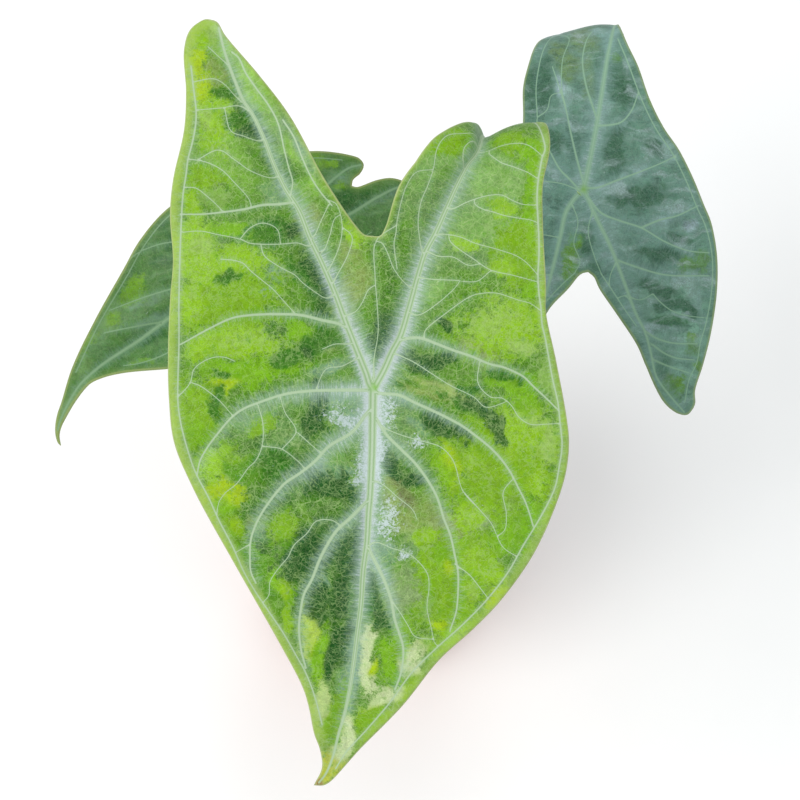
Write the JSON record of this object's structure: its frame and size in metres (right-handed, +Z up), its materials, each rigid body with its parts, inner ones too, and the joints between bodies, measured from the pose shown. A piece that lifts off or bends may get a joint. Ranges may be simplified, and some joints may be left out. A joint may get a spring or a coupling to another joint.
{
  "type": "potted variegated alocasia",
  "caption": "Potted aroid house plant with large arrow-shaped leaves marbled in lime, dark and silvery green, on slender petioles rising from a short rhizome in a plain round clay pot.",
  "frame": {"origin": "centre of the pot's flat underside, on the surface that the pot stands on", "axes": "+Z up along the pot's axis, -Y towards the side that the front leaf's face and tip turn to, +X to the right seen from there"},
  "size_m": [0.2489, 0.3276, 0.4607],
  "materials": {
    "clay": "matt fired clay, unglazed, faintly mottled",
    "soil": "crumbly dark potting mix with bark and pale grit",
    "rhizome_bark": "dry papery brown skin with ring scars",
    "leaf_lime": "satin leaf, lime to dark green marbling, pale veins with silver halos, fine pale rim",
    "leaf_green": "satin leaf, mid to dark green marbling with lime patches, pale veins and rim",
    "leaf_silver": "satin leaf, teal grey-green with silver between pale veins, pale rim"
  },
  "bodies": {
    "root": {"pot": "clay", "soil": "soil", "rhizome": "rhizome_bark", "leaf_front": "leaf_lime", "leaf_left": "leaf_green", "leaf_right": "leaf_silver"}
  },
  "joints": []
}
